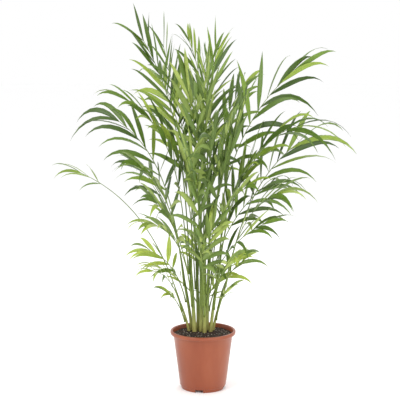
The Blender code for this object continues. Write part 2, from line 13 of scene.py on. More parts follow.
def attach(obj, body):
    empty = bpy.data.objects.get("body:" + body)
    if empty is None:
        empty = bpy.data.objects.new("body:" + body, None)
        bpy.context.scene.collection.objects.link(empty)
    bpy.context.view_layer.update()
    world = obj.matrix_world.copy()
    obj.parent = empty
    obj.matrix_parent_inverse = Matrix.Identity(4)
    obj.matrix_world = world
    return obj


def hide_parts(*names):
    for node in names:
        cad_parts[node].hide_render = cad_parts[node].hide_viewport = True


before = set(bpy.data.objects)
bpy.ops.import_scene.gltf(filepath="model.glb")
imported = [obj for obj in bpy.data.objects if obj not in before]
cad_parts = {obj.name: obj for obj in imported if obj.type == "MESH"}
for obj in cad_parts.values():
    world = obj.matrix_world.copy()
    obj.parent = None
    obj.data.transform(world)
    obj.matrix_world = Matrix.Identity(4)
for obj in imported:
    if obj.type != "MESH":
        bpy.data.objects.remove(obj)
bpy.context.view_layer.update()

UP = Vector((0.0, 0.0, 1.0))
MM = 0.001

# Camera, read from the photograph's frame. Pitch: degrees down. Lens and sensor: millimetres.
CAMERA_PLACE = (-0.0096, -3.5, 1.085)
CAMERA_PITCH = 7.75
CAMERA_LENS = 100.6
CAMERA_SENSOR = 36.0

# Studio. Lamps: place, size and watts.
FLOOR_SIZE = 60.0
FLOOR_DROP = 0.0005
LAMPS = {
    "key": ((-2.2, -2.4, 3.0), 1.6, 66.0),
    "fill": ((2.6, -1.8, 1.6), 1.2, 18.0),
    "strip": ((1.15, -2.6, 0.7), 0.35, 14.0),
    "rim": ((0.6, 2.4, 2.6), 1.4, 30.0),
}
LAMP_AIM = Vector((0.0, 0.0, 0.6))

# Pot
POT_SIDES = 96
LIP_RADIUS = 0.105
LIP_TOP = 0.1885
LIP_DEPTH = 0.0115
LIP_INNER_RADIUS = 0.0965
LIP_ROLL = 0.004
LIP_ROLL_STEP = 20
LIP_DRAFT = 0.0001
LIP_EDGE = 0.0012
LIP_EDGE_RISE = 0.0018
NECK_OUT = 0.0012
NECK_RISE = 0.0022
WALL_TOP_RADIUS = 0.095
WALL_TOP = 0.173
WALL_FOOT_RADIUS = 0.074
WALL_THICKNESS = 0.0018
WALL_RINGS = (0.3, 0.6, 0.85)
FOOT_HEIGHT = 0.011
FOOT_STEP = 0.001
FOOT_TOP_RADIUS = 0.071
FOOT_RADIUS = 0.0695
FLOOR_UNDER = 0.0098
FLOOR_THICKNESS = 0.0022
FLOOR_RADIUS = 0.050
FOOT_RING = 0.0032
CORNER_TOP = 0.026
NOTCH_COUNT = 4
NOTCH_AZIMUTH = 259.5
NOTCH_WIDTH = 0.026
NOTCH_HEIGHT = 0.0085
NOTCH_INNER_RADIUS = 0.064
NOTCH_ROUNDING = 0.0012
EDGE_ROUNDING = 0.0009
EDGE_ANGLE = 28
POT_SMOOTH_ANGLE = 32

# Soil. Lumps and grains: size across and share of the roughness.
SOIL_EDGE = 0.176
SOIL_TOP = 0.1805
SOIL_RINGS = 26
SOIL_SMOOTH_ANGLE = 60
SOIL_ROUGHNESS = 0.0030
SOIL_SUNK = 0.15
LUMP_SIZE = 0.011
LUMP_SHARE = 0.7
GRAIN_SIZE = 0.0042
GRAIN_SHARE = 0.4
GRAIN_LAYER = 3.0

# Crumbs on the soil: how many, least and most size, and how flat
BARK = (1300, 0.0009, 0.0030, 0.55)
GRIT = (210, 0.0007, 0.0017, 0.8)
CRUMB_MARGIN = 0.007
CRUMB_LONGER = (0.8, 2.0)
CRUMB_UNEVEN = (0.75, 1.2)
CRUMB_TILT = 0.5
CRUMB_SLOPE = 0.6
CRUMB_PROUD = 0.2
CRUMB_CORNERS = ((1, 0, 0), (0, 1, 0), (-1, 0, 0), (0, -1, 0), (0.2, 0.1, 0.9), (-0.1, 0.2, -0.8))
CRUMB_FACES = ((0, 1, 4), (1, 2, 4), (2, 3, 4), (3, 0, 4), (1, 0, 5), (2, 1, 5), (3, 2, 5), (0, 3, 5))

# Canes
CANE_SIDES = 20
CANE_RINGS = 34
CANE_SMOOTH_ANGLE = 40
CANE_SHARES = (0.0, 0.05, 0.16, 0.45, 0.75, 1.0)
CANE_SWELL = (1.32, 1.16, 1.0, 0.95, 0.88, 0.80)
CANE_CURVE = 0.25
CANE_INSIDE = 0.97
CANE_DRAWN_IN = 0.75
SHEATH_LENGTH = 0.055
SHEATH_FLARE = 0.05
FLUTE = 0.035
FINE_FLUTE = 0.015

# Ribs. The three-sided section's lower corners lie aside of its middle and below it.
SEAT_GAP = 0.0003
RIB_CLEARANCE = 0.0007
RIB_FOOT_RADIUS = 0.0026
RIB_TIP_RADIUS = 0.0009
RIB_TAPER = 0.8
SECTION_ASIDE = 0.87
SECTION_BELOW = 0.5
RIB_STRAIGHT = 0.36
RIB_BARE_RINGS = 5
RIB_END = 0.975
RIB_PAST_END = 0.02
LEAST_PAIRS = 3
SOCKET_LENGTH = 0.007
RIB_SIDES = 10
RIB_RINGS = 40
RIB_GROOVE = 0.30
RIB_INSIDE = 0.98
RIB_HEEL = 0.35
RIB_HEEL_END = 0.06

# How a rib may give way: turned round its cane, bowed aside, leaning more
RIB_TURNS = (0, 25, -25, 50, -50, 75, -75)
RIB_BOWS = (0.0, 0.012, -0.012, 0.026, -0.026)
RIB_LEANS = (0, 3, -3)

# x and y: where it stands. azimuth and lean: which way and how many degrees off upright. top: the
# height of its top.
Cane = namedtuple("Cane", "x y azimuth lean top radius")

CANES = {
    "west_low": Cane(-0.045, 0.018, 190, 17, 0.275, 0.0042),
    "west": Cane(-0.036, 0.032, 172, 9, 0.360, 0.0052),
    "west_front": Cane(-0.027, 0.009, 205, 4, 0.420, 0.0062),
    "mid_west": Cane(-0.015, 0.029, 150, 1.5, 0.450, 0.0055),
    "back": Cane(-0.003, 0.047, 95, 6, 0.410, 0.0055),
    "middle": Cane(-0.006, 0.012, 260, 0.5, 0.460, 0.0055),
    "front": Cane(0.005, -0.006, 278, 4, 0.380, 0.0050),
    "mid_east": Cane(0.013, 0.028, 40, 2, 0.450, 0.0055),
    "east": Cane(0.024, 0.008, 345, 8, 0.400, 0.0052),
    "east_low": Cane(0.032, 0.028, 8, 16, 0.330, 0.0044),
}

# spacing: of the leaflet pairs along the rib. width: of a leaflet's length. splay and close:
# degrees off the rib at the lowest and the last pair. lift: degrees above the blade. sag: drop of
# a level leaflet's tip, of its length. tail: length of the last leaflets against the first.
Habit = namedtuple("Habit", "spacing width splay close lift sag tail")

HABITS = {
    "plume": Habit(0.040, 0.100, 38, 15, 12, 0.10, 0.95),
    "ladder": Habit(0.033, 0.115, 66, 26, 8, 0.05, 0.65),
    "arching": Habit(0.050, 0.108, 44, 12, 14, 0.34, 1.15),
    "spray": Habit(0.052, 0.122, 46, 16, 12, 0.20, 0.98),
    "young": Habit(0.030, 0.185, 54, 16, 12, 0.24, 1.00),
    "broad": Habit(0.042, 0.165, 42, 7, 8, 0.05, 1.35),
    "tuft": Habit(0.040, 0.125, 44, 10, 10, 0.26, 1.10),
}

# release: height where the rib leaves its cane. azimuth, reach and height: the rib's tip, from
# the pot's axis. lean and droop: degrees off upright at the rib's foot and tip. turn: degrees
# that the blade twists round its rib. bare: share of the rib below the leaflets. leaf: length of
# the lowest leaflets.
Frond = namedtuple("Frond", "cane release azimuth reach height lean droop turn bare leaf habit")

FRONDS = {
    "left_crest": Frond("west_front", 0.420, 153, 0.221, 1.120, 5, 36, -55, 0.48, 0.182, "plume"),
    "left_inner": Frond("mid_west", 0.450, 171, 0.128, 1.100, 2, 14, -60, 0.46, 0.143, "plume"),
    "left_shoulder": Frond("west_front", 0.370, 207, 0.260, 0.930, 6, 62, -35, 0.41, 0.162, "spray"),
    "left_reach": Frond("west", 0.360, 157, 0.305, 0.855, 8, 60, -45, 0.47, 0.186, "arching"),
    "left_outrigger": Frond("west_low", 0.275, 187, 0.390, 0.703, 17, 66, -35, 0.85, 0.116, "tuft"),
    "left_drape": Frond("west", 0.325, 220, 0.248, 0.730, 6, 62, -25, 0.55, 0.162, "tuft"),
    "left_bow": Frond("west_front", 0.320, 213, 0.185, 0.545, 6, 74, -20, 0.47, 0.125, "young"),
    "left_low": Frond("west", 0.270, 155, 0.188, 0.430, 12, 74, -30, 0.49, 0.110, "young"),
    "left_skirt": Frond("west_low", 0.245, 201, 0.169, 0.392, 14, 78, -25, 0.52, 0.090, "young"),
    "left_hem": Frond("west_low", 0.212, 196, 0.112, 0.310, 20, 58, -25, 0.52, 0.095, "young"),
    "crown_leaf": Frond("middle", 0.460, 236, 0.084, 0.960, 2, 24, 20, 0.61, 0.140, "broad"),
    "crown_ladder": Frond("mid_east", 0.450, 86, 0.045, 1.035, 1, 4, 0, 0.41, 0.150, "ladder"),
    "crown_back_left": Frond("back", 0.410, 109, 0.148, 1.115, 4, 40, 0, 0.55, 0.132, "plume"),
    "crown_right": Frond("mid_east", 0.400, 62, 0.092, 1.085, 2, 18, 35, 0.52, 0.160, "plume"),
    "front_centre": Frond("front", 0.380, 277, 0.255, 0.850, 4, 54, 55, 0.47, 0.180, "spray"),
    "front_left": Frond("front", 0.345, 258, 0.275, 0.790, 6, 58, -60, 0.47, 0.180, "spray"),
    "front_high": Frond("middle", 0.415, 262, 0.185, 0.945, 4, 40, -50, 0.49, 0.156, "spray"),
    "right_crest": Frond("mid_east", 0.350, 12, 0.291, 1.010, 6, 50, 45, 0.49, 0.211, "arching"),
    "right_inner": Frond("east", 0.400, 309, 0.206, 0.935, 4, 42, 40, 0.44, 0.162, "spray"),
    "right_reach": Frond("east", 0.345, 338, 0.318, 0.852, 6, 76, 40, 0.46, 0.189, "arching"),
    "right_sweep": Frond("east_low", 0.330, 21, 0.337, 0.783, 12, 58, 45, 0.55, 0.221, "arching"),
    "right_shoulder": Frond("east", 0.300, 322, 0.227, 0.760, 6, 58, 35, 0.44, 0.168, "spray"),
    "right_drape": Frond("east_low", 0.290, 336, 0.244, 0.638, 10, 66, 35, 0.55, 0.174, "tuft"),
    "right_bow": Frond("front", 0.310, 302, 0.237, 0.672, 8, 66, 35, 0.49, 0.156, "spray"),
    "right_low": Frond("east", 0.255, 308, 0.152, 0.442, 10, 68, 20, 0.51, 0.095, "young"),
    "right_skirt": Frond("east_low", 0.250, 29, 0.146, 0.398, 12, 62, 30, 0.52, 0.105, "young"),
    "right_hem": Frond("east_low", 0.215, 329, 0.100, 0.338, 14, 60, 20, 0.47, 0.085, "young"),
    "back_right_high": Frond("back", 0.375, 62, 0.290, 0.960, 4, 52, 20, 0.43, 0.180, "spray"),
    "back_centre": Frond("back", 0.335, 88, 0.330, 0.800, 6, 66, 15, 0.46, 0.173, "arching"),
    "back_left_high": Frond("mid_west", 0.405, 118, 0.300, 0.985, 4, 50, -30, 0.43, 0.186, "spray"),
    "back_left": Frond("west", 0.300, 132, 0.325, 0.690, 8, 68, -20, 0.47, 0.162, "arching"),
    "back_right": Frond("mid_east", 0.300, 42, 0.310, 0.640, 8, 70, 20, 0.47, 0.162, "arching"),
    "back_low": Frond("back", 0.270, 97, 0.215, 0.450, 10, 72, 15, 0.49, 0.115, "young"),
    "back_crest": Frond("mid_west", 0.360, 80, 0.200, 1.060, 3, 34, 20, 0.51, 0.165, "plume"),
    "back_left_low": Frond("back", 0.235, 140, 0.200, 0.370, 14, 72, 10, 0.49, 0.100, "young"),
    "back_right_low": Frond("mid_east", 0.240, 52, 0.205, 0.400, 12, 72, -10, 0.49, 0.105, "young"),
    "front_right": Frond("middle", 0.365, 290, 0.280, 0.900, 5, 50, 55, 0.47, 0.180, "spray"),
    "front_right_mid": Frond("front", 0.270, 318, 0.250, 0.560, 8, 64, 40, 0.51, 0.151, "tuft"),
    "front_left_mid": Frond("west_front", 0.265, 236, 0.255, 0.630, 8, 60, -40, 0.51, 0.162, "tuft"),
    "front_low": Frond("front", 0.235, 266, 0.145, 0.500, 8, 48, -50, 0.49, 0.115, "young"),
    "front_crest": Frond("middle", 0.315, 275, 0.140, 1.030, 3, 26, 45, 0.55, 0.154, "plume"),
    "back_hem": Frond("back", 0.205, 70, 0.130, 0.320, 18, 62, 0, 0.47, 0.090, "young"),
    "inner_left": Frond("mid_west", 0.315, 200, 0.150, 0.860, 4, 40, -40, 0.46, 0.156, "spray"),
    "heart_left": Frond("west_front", 0.345, 252, 0.110, 0.745, 3, 22, -50, 0.50, 0.174, "tuft"),
    "heart_right": Frond("mid_east", 0.330, 305, 0.125, 0.775, 3, 24, 50, 0.50, 0.174, "tuft"),
    "heart_front": Frond("front", 0.305, 262, 0.130, 0.650, 3, 20, 30, 0.50, 0.157, "tuft"),
    "heart_east": Frond("east", 0.330, 352, 0.135, 0.700, 3, 26, 40, 0.48, 0.162, "spray"),
    "heart_low": Frond("front", 0.265, 288, 0.100, 0.545, 3, 18, -40, 0.46, 0.120, "young"),
}

# Leaflets: shares of the length, and the blade's width there as a share of its widest
LEAF_STATIONS = (0.0, 0.05, 0.13, 0.24, 0.38, 0.53, 0.68, 0.82, 0.93, 1.0)
LEAF_WIDTHS = (0.20, 0.34, 0.62, 0.88, 1.0, 0.94, 0.74, 0.45, 0.18, 0.015)

# Across a blade: where its corners lie, of its half width, with the lower side's below the
# upper's. Fold, shoulder and arch: how far they rise. Edge and least: shares of the thickness.
BLADE_OFFSETS = (-1.0, -0.5, 0.0, 0.5, 1.0)
BLADE_RING = 2 * len(BLADE_OFFSETS)
BLADE_UPPER_FACES = len(BLADE_OFFSETS) - 1
LEAF_FOLD = 0.30
LEAF_FOLD_OPENS = 0.5
LEAF_SHOULDER = 0.42
LEAF_ARCH = 0.10
LEAF_THICKNESS = 0.00032
LEAF_EDGE_THICKNESS = 0.4
LEAF_LEAST_THICKNESS = 0.25

# How leaflets vary, as in the solids: shares of length and width, degrees of splay and lift
LENGTH_VARIES = 0.10
WIDTH_VARIES = 0.12
SPLAY_VARIES = 9.0
LIFT_VARIES = 15.0
SAG_VARIES = 0.5
LEAF_AT_ENDS = 0.84
LEAF_MORE_MIDDLE = 0.16
SPLAY_CLOSES = 0.8

# What the scene's leaflets have besides: slimmer, rolled, more drooping, alternate along the rib
LEAF_SLENDERER = 0.76
LEAF_ROLL = 58.0
LEAF_ROLL_IN = 15.0
LEAF_MORE_SAG = 0.10
LEAF_TWIST = 0.9
LEAF_SWAY = 0.10
SAG_POWER = 2.3
TIP_CURL = 0.12
TIP_CURL_POWER = 6
ALTERNATE = 0.30

# How light each frond's leaves are: young growth is fresher, and the lighter tones are also painted
# light, standing in for light that reaches the leaves and shines through them
TONES = {
    "young": 0.74,
    "broad": 0.80,
    "tuft": 0.50,
    "plume": 0.42,
    "ladder": 0.56,
    "arching": 0.34,
    "spray": 0.46,
}
TONE_VARIES = 0.8
FRESH_HABITS = ("young", "broad")


# Materials

def srgb(code):
    """A hex colour as the linear values that a shader takes."""
    parts = [int(code[place:place + 2], 16) / 255.0 for place in (0, 2, 4)]
    linear = [part / 12.92 if part <= 0.04045 else ((part + 0.055) / 1.055) ** 2.4 for part in parts]
    return (*linear, 1.0)


def wire(tree, target, links):
    for socket, source in links.items():
        tree.links.new(source, target.inputs[socket])


def node(tree, kind, settings=None, links=None):
    """Adds a node. A setting is the node's own where it has one of that name, and else a socket's
    value, by name or number. Stops are a ramp's places and hex colours."""
    made = tree.nodes.new(kind)
    for name, value in (settings or {}).items():
        if name == "stops":
            points = made.color_ramp.elements
            while len(points) < len(value):
                points.new(0.5)
            for point, (place, colour) in zip(points, value):
                point.position = place
                point.color = srgb(colour)
        elif isinstance(name, str) and hasattr(made, name):
            setattr(made, name, value)
        else:
            made.inputs[name].default_value = value
    wire(tree, made, links or {})
    return made


def finish(name, constants):
    """A new material with a Principled shader, and its constants on the shader's own sockets."""
    made = bpy.data.materials.new(name)
    made.use_nodes = True
    shader = made.node_tree.nodes["Principled BSDF"]
    for socket, value in constants.items():
        shader.inputs[socket].default_value = value
    return made, made.node_tree, shader


def moulded_polypropylene():
    """Terracotta-coloured polypropylene, injection moulded: an even colour with faint cloudy flow
    marks, a soft satin sheen and a very fine orange-peel skin."""
    made, tree, shader = finish("moulded_polypropylene", {"IOR": 1.49})
    place = node(tree, "ShaderNodeTexCoord").outputs["Object"]
    flow = node(tree, "ShaderNodeMapping", {"Scale": (1.0, 1.0, 0.25)}, {"Vector": place})
    marks = {"Scale": 1.0 / (55 * MM), "Detail": 3.0}
    clouds = node(tree, "ShaderNodeTexNoise", marks, {"Vector": flow.outputs[0]})
    terracotta = {"stops": ((0.30, "843E22"), (0.55, "8D4628"), (0.75, "965031"))}
    colour = node(tree, "ShaderNodeValToRGB", terracotta, {0: clouds.outputs["Fac"]})
    fine = {"Scale": 1.0 / (14 * MM), "Detail": 5.0}
    scuffs = node(tree, "ShaderNodeTexNoise", fine, {"Vector": place})
    satin = {"To Min": 0.24, "To Max": 0.38}
    gloss = node(tree, "ShaderNodeMapRange", satin, {"Value": scuffs.outputs["Fac"]})
    peel = {"Scale": 1.0 / (1.6 * MM), "Detail": 2.0}
    skin = node(tree, "ShaderNodeTexNoise", peel, {"Vector": place})
    shallow = {"Strength": 0.10, "Distance": 0.4 * MM}
    bump = node(tree, "ShaderNodeBump", shallow, {"Height": skin.outputs["Fac"]})
    wire(tree, shader, {
        "Base Color": colour.outputs[0],
        "Roughness": gloss.outputs[0],
        "Normal": bump.outputs[0],
    })
    return made


def peat():
    """Moist sieved peat: nearly black brown with lighter dry fibres, and quite matt."""
    made, tree, shader = finish("peat_compost", {"Roughness": 0.95})
    place = node(tree, "ShaderNodeTexCoord").outputs["Object"]
    crumbly = {"Scale": 1.0 / (4 * MM), "Detail": 6.0, "Roughness": 0.7}
    grain = node(tree, "ShaderNodeTexNoise", crumbly, {"Vector": place}).outputs["Fac"]
    browns = {"stops": ((0.32, "0C0907"), (0.50, "1D150F"), (0.64, "382A1E"), (0.80, "6B5842"))}
    colour = node(tree, "ShaderNodeValToRGB", browns, {0: grain})
    rough = {"Strength": 0.8, "Distance": 1.5 * MM}
    bump = node(tree, "ShaderNodeBump", rough, {"Height": grain})
    wire(tree, shader, {"Base Color": colour.outputs[0], "Normal": bump.outputs[0]})
    return made


def crumb(name, dark, light, size_mm):
    """Loose bits on the peat, each kind in its own range of browns or greys."""
    made, tree, shader = finish(name, {"Roughness": 0.9})
    place = node(tree, "ShaderNodeTexCoord").outputs["Object"]
    speckled = {"Scale": 1.0 / (size_mm * MM), "Detail": 3.0}
    grain = node(tree, "ShaderNodeTexNoise", speckled, {"Vector": place})
    shades = {"stops": ((0.35, dark), (0.65, light))}
    colour = node(tree, "ShaderNodeValToRGB", shades, {0: grain.outputs["Fac"]})
    wire(tree, shader, {"Base Color": colour.outputs[0]})
    return made


def green_sheath():
    """Living cane in its leaf sheaths: pale straw yellow at the foot, clear green above, with fine
    lengthwise fibres and a smooth waxy skin."""
    made, tree, shader = finish("sheathed_cane", {"IOR": 1.45})
    place = node(tree, "ShaderNodeTexCoord").outputs["Object"]
    height = node(tree, "ShaderNodeSeparateXYZ", None, {"Vector": place}).outputs[2]
    rise = {"From Min": SOIL_TOP, "From Max": 0.42}
    climb = node(tree, "ShaderNodeMapRange", rise, {"Value": height})
    greens = {"stops": ((0.0, "8F8746"), (0.10, "A6A85C"), (0.35, "7C8F3C"), (1.0, "5F782E"))}
    colour = node(tree, "ShaderNodeValToRGB", greens, {0: climb.outputs[0]})
    drawn_out = node(tree, "ShaderNodeMapping", {"Scale": (1.0, 1.0, 0.06)}, {"Vector": place})
    fine = {"Scale": 1.0 / (1.1 * MM), "Detail": 3.0}
    fibre = node(tree, "ShaderNodeTexNoise", fine, {"Vector": drawn_out.outputs[0]}).outputs["Fac"]
    greys = {"stops": ((0.35, "B4B4B4"), (0.65, "FFFFFF"))}
    streak = node(tree, "ShaderNodeValToRGB", greys, {0: fibre})
    shaded = {"data_type": "RGBA", "blend_type": "MULTIPLY", 0: 0.55}
    streaked = node(tree, "ShaderNodeMix", shaded, {6: colour.outputs[0], 7: streak.outputs[0]})
    gloss = node(tree, "ShaderNodeMapRange", {"To Min": 0.36, "To Max": 0.55}, {"Value": fibre})
    bump = node(tree, "ShaderNodeBump", {"Strength": 0.25, "Distance": 0.3 * MM}, {"Height": fibre})
    wire(tree, shader, {
        "Base Color": streaked.outputs[2],
        "Roughness": gloss.outputs[0],
        "Normal": bump.outputs[0],
    })
    return made


def rib_skin():
    """Smooth petiole and rib: yellower near the cane, green above and paler towards the crown."""
    made, tree, shader = finish("petiole_skin", {"IOR": 1.45})
    place = node(tree, "ShaderNodeTexCoord").outputs["Object"]
    height = node(tree, "ShaderNodeSeparateXYZ", None, {"Vector": place}).outputs[2]
    rise = {"From Min": 0.25, "From Max": 1.0}
    climb = node(tree, "ShaderNodeMapRange", rise, {"Value": height})
    greens = {"stops": ((0.0, "788A38"), (0.4, "687F34"), (1.0, "7E924A"))}
    colour = node(tree, "ShaderNodeValToRGB", greens, {0: climb.outputs[0]})
    cloudy = {"Scale": 1.0 / (9 * MM), "Detail": 3.0}
    mottle = node(tree, "ShaderNodeTexNoise", cloudy, {"Vector": place}).outputs["Fac"]
    greys = {"stops": ((0.3, "C6C6C6"), (0.7, "FFFFFF"))}
    shade = node(tree, "ShaderNodeValToRGB", greys, {0: mottle})
    shaded = {"data_type": "RGBA", "blend_type": "MULTIPLY", 0: 0.6}
    mottled = node(tree, "ShaderNodeMix", shaded, {6: colour.outputs[0], 7: shade.outputs[0]})
    gloss = node(tree, "ShaderNodeMapRange", {"To Min": 0.35, "To Max": 0.55}, {"Value": mottle})
    wire(tree, shader, {"Base Color": mottled.outputs[2], "Roughness": gloss.outputs[0]})
    return made


def leaf_skin(name, deep, mid, light, roughness):
    """One side of a leaflet: a thin waxy blade whose colour drifts from leaf to leaf and a little
    along it, with about seven parallel veins on each half. Its greens are brightened to stand in
    for light shining through the blade: a painted glow."""
    made, tree, shader = finish(name, {"IOR": 1.45})
    spread = node(tree, "ShaderNodeUVMap", {"uv_map": "blade"}).outputs[0]
    tone = node(tree, "ShaderNodeAttribute", {"attribute_name": "leaf_tone"}).outputs["Fac"]
    greens = {"stops": ((0.0, deep), (0.5, mid), (1.0, light))}
    colour = node(tree, "ShaderNodeValToRGB", greens, {0: tone})
    lengthwise = {"bands_direction": "X", "Scale": 2.2, "Distortion": 0.3}
    veins = node(tree, "ShaderNodeTexWave", lengthwise, {"Vector": spread}).outputs["Fac"]
    faint = {"stops": ((0.0, "D2D2D2"), (0.6, "FFFFFF"))}
    lines = node(tree, "ShaderNodeValToRGB", faint, {0: veins})
    place = node(tree, "ShaderNodeTexCoord").outputs["Object"]
    cloudy = {"Scale": 1.0 / (30 * MM), "Detail": 2.0}
    drift = node(tree, "ShaderNodeTexNoise", cloudy, {"Vector": place}).outputs["Fac"]
    greys = {"stops": ((0.3, "D4D4D4"), (0.7, "FFFFFF"))}
    patch = node(tree, "ShaderNodeValToRGB", greys, {0: drift})
    shaded = {"data_type": "RGBA", "blend_type": "MULTIPLY"}
    veined = node(tree, "ShaderNodeMix", shaded | {0: 0.45}, {6: colour.outputs[0], 7: lines.outputs[0]})
    patched = node(tree, "ShaderNodeMix", shaded | {0: 0.5}, {6: veined.outputs[2], 7: patch.outputs[0]})
    waxy = {"To Min": roughness - 0.06, "To Max": roughness + 0.08}
    gloss = node(tree, "ShaderNodeMapRange", waxy, {"Value": drift})
    bump = node(tree, "ShaderNodeBump", {"Strength": 0.25, "Distance": 0.4 * MM}, {"Height": veins})
    wire(tree, shader, {
        "Base Color": patched.outputs[2],
        "Roughness": gloss.outputs[0],
        "Normal": bump.outputs[0],
    })
    return made


# Shared shape helpers

def heading(azimuth):
    angle = math.radians(azimuth)
    return Vector((math.cos(angle), math.sin(angle), 0.0))


def deselect():
    if bpy.context.object and bpy.context.object.mode != "OBJECT":
        bpy.ops.object.mode_set(mode="OBJECT")
    bpy.ops.object.select_all(action="DESELECT")


def pick(piece):
    """Makes a piece the active one, with nothing else selected."""
    deselect()
    piece.select_set(True)
    bpy.context.view_layer.objects.active = piece


def first_ring(name, sides, radius, middle):
    """Starts a piece as a circle, in edit mode and selected, to be drawn up ring by ring."""
    deselect()
    bpy.ops.mesh.primitive_circle_add(vertices=sides, radius=radius, fill_type="NOTHING", location=middle)
    piece = bpy.context.object
    piece.name = name
    bpy.ops.object.transform_apply(location=True, rotation=True, scale=True)
    bpy.ops.object.mode_set(mode="EDIT")
    bpy.ops.mesh.select_all(action="SELECT")
    return piece


def next_ring(move, middle, growth):
    """Extrudes the last ring along a move and scales it about its new middle."""
    bpy.ops.mesh.extrude_region_move(TRANSFORM_OT_translate={"value": move})
    bpy.ops.transform.resize(value=(growth, growth, 1.0), center_override=middle)


def close_up():
    """Fills the first and last ring, turns the faces outwards and leaves edit mode."""
    bpy.ops.mesh.select_all(action="SELECT")
    bpy.ops.mesh.fill_holes(sides=0)
    bpy.ops.mesh.select_all(action="SELECT")
    bpy.ops.mesh.normals_make_consistent(inside=False)
    bpy.ops.object.mode_set(mode="OBJECT")


def turned_by_hand(name, profile, sides):
    """Draws a turned shape as a circle that is extruded and scaled ring by ring, then closed."""
    radius, height = profile[0]
    piece = first_ring(name, sides, radius, (0, 0, height))
    for (was, below), (now, above) in zip(profile, profile[1:]):
        next_ring((0.0, 0.0, above - below), (0.0, 0.0, above), now / was)
    close_up()
    return piece


def applied(piece, kind, **settings):
    """Adds a modifier to the piece and applies it."""
    pick(piece)
    modifier = piece.modifiers.new(kind.lower(), kind)
    for name, value in settings.items():
        setattr(modifier, name, value)
    bpy.ops.object.modifier_apply(modifier=modifier.name)


def finished(piece, degrees, material):
    """Shades a piece smooth, but for edges sharper than an angle, in one material."""
    pick(piece)
    bpy.ops.object.shade_smooth_by_angle(angle=math.radians(degrees))
    piece.data.materials.clear()
    piece.data.materials.append(material)
    return piece


def drawn(name, corners, faces, finishes, kinds=None, smooth=True):
    """A piece straight from its corners and faces, for what is grown or strewn by a rule."""
    mesh = bpy.data.meshes.new(name)
    mesh.from_pydata([tuple(corner) for corner in corners], [], faces)
    for item in finishes:
        mesh.materials.append(item)
    if kinds is not None:
        mesh.polygons.foreach_set("material_index", kinds)
    mesh.polygons.foreach_set("use_smooth", [smooth] * len(mesh.polygons))
    mesh.update()
    piece = bpy.data.objects.new(name, mesh)
    bpy.context.collection.objects.link(piece)
    return piece


# Pot and soil

def wall_radius(height):
    share = (height - FOOT_HEIGHT) / (WALL_TOP - FOOT_HEIGHT)
    return WALL_FOOT_RADIUS + share * (WALL_TOP_RADIUS - WALL_FOOT_RADIUS)


def pot_profile():
    """Radius and height all round the pot's section, from its floor's underside out and over the
    lip to its floor's top."""
    lip_under = LIP_TOP - LIP_DEPTH
    lip_middle = (LIP_RADIUS + LIP_INNER_RADIUS) / 2.0
    lip_half = (LIP_RADIUS - LIP_INNER_RADIUS) / 2.0
    roll = []
    for degrees in range(0, 181, LIP_ROLL_STEP):
        angle = math.radians(degrees)
        out = lip_middle + lip_half * math.cos(angle)
        roll.append((out, LIP_TOP - LIP_ROLL + LIP_ROLL * math.sin(angle)))
    return [
        (FLOOR_RADIUS, FLOOR_UNDER),
        (FOOT_RADIUS - FOOT_RING, FLOOR_UNDER),
        (FOOT_RADIUS - FOOT_RING, 0.0),
        (FOOT_RADIUS, 0.0),
        (FOOT_TOP_RADIUS, FOOT_HEIGHT - FOOT_STEP),
        (WALL_FOOT_RADIUS, FOOT_HEIGHT),
        *((wall_radius(WALL_TOP * share), WALL_TOP * share) for share in WALL_RINGS),
        (WALL_TOP_RADIUS, WALL_TOP),
        (WALL_TOP_RADIUS + NECK_OUT, WALL_TOP + NECK_RISE),
        (LIP_RADIUS - LIP_EDGE, lip_under),
        (LIP_RADIUS - LIP_DRAFT, lip_under + LIP_EDGE_RISE),
        *roll,
        (WALL_TOP_RADIUS - WALL_THICKNESS, WALL_TOP),
        (wall_radius(CORNER_TOP) - WALL_THICKNESS, CORNER_TOP),
        (FLOOR_RADIUS, FLOOR_UNDER + FLOOR_THICKNESS),
    ]


def make_pot(plastic):
    """The tub: foot, tapering wall and rolled lip in one skin, with its edges eased and the drain
    notches cut in the foot."""
    pot = turned_by_hand("nursery_pot", pot_profile(), POT_SIDES)
    sharp = math.radians(EDGE_ANGLE)
    applied(pot, "BEVEL", width=EDGE_ROUNDING, segments=3, limit_method="ANGLE", angle_limit=sharp)
    depth = 2.0 * (WALL_FOOT_RADIUS - NOTCH_INNER_RADIUS)
    for turn in range(NOTCH_COUNT):
        azimuth = NOTCH_AZIMUTH + turn * 360.0 / NOTCH_COUNT
        deselect()
        middle = heading(azimuth) * (NOTCH_INNER_RADIUS + depth / 2.0)
        turned = (0.0, 0.0, math.radians(azimuth))
        bpy.ops.mesh.primitive_cube_add(size=1.0, location=middle, rotation=turned)
        cutter = bpy.context.object
        cutter.scale = (depth, NOTCH_WIDTH, 2.0 * NOTCH_HEIGHT)
        bpy.ops.object.transform_apply(location=True, rotation=True, scale=True)
        applied(cutter, "BEVEL", width=NOTCH_ROUNDING, segments=2)
        applied(pot, "BOOLEAN", operation="DIFFERENCE", solver="EXACT", object=cutter)
        bpy.data.objects.remove(cutter, do_unlink=True)
    return finished(pot, POT_SMOOTH_ANGLE, plastic)


def soil_height(x, y):
    """Lumpy top of the soil, highest in the middle."""
    away = math.hypot(x, y) / WALL_TOP_RADIUS
    level = SOIL_TOP + (SOIL_EDGE - SOIL_TOP) * away**2
    lumps = noise.noise(Vector((x, y, 0.0)) / LUMP_SIZE) * LUMP_SHARE
    grains = noise.noise(Vector((x, y, GRAIN_LAYER)) / GRAIN_SIZE) * GRAIN_SHARE
    return level + SOIL_ROUGHNESS * (lumps + grains - SOIL_SUNK)


